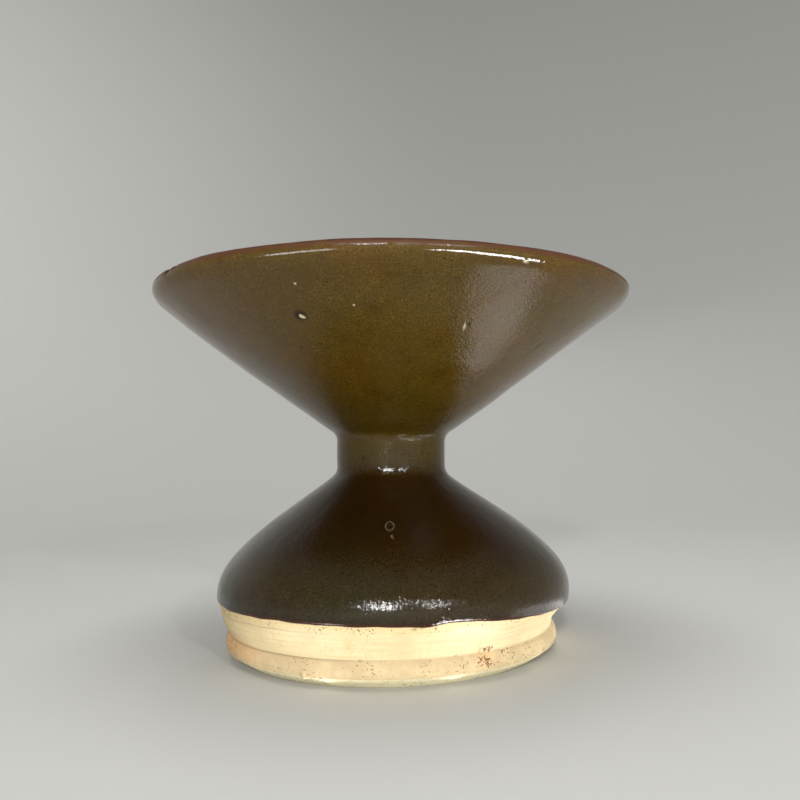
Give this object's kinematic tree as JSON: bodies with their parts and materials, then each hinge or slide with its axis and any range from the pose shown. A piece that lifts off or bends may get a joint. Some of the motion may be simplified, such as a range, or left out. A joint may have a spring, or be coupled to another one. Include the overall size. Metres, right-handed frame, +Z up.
{
  "type": "leys jar",
  "caption": "Stoneware leys jar with a wide conical mouth on a short narrow neck, over a squat hollow belly and a bare splayed foot; stands on its foot ring.",
  "frame": {"origin": "centre of the foot ring's underside, on the floor it stands on", "axes": "+Z up along the axis the jar was turned about; -Y towards the side the picture shows"},
  "size_m": [0.15, 0.15, 0.1117],
  "materials": {
    "glazed_stoneware": "olive-brown speckled tea-dust glaze with a glossy satin surface, thin and rust red along the lip; bare cream stoneware with fine turning lines below the glaze line"
  },
  "bodies": {
    "root": {"jar": "glazed_stoneware"}
  },
  "joints": []
}
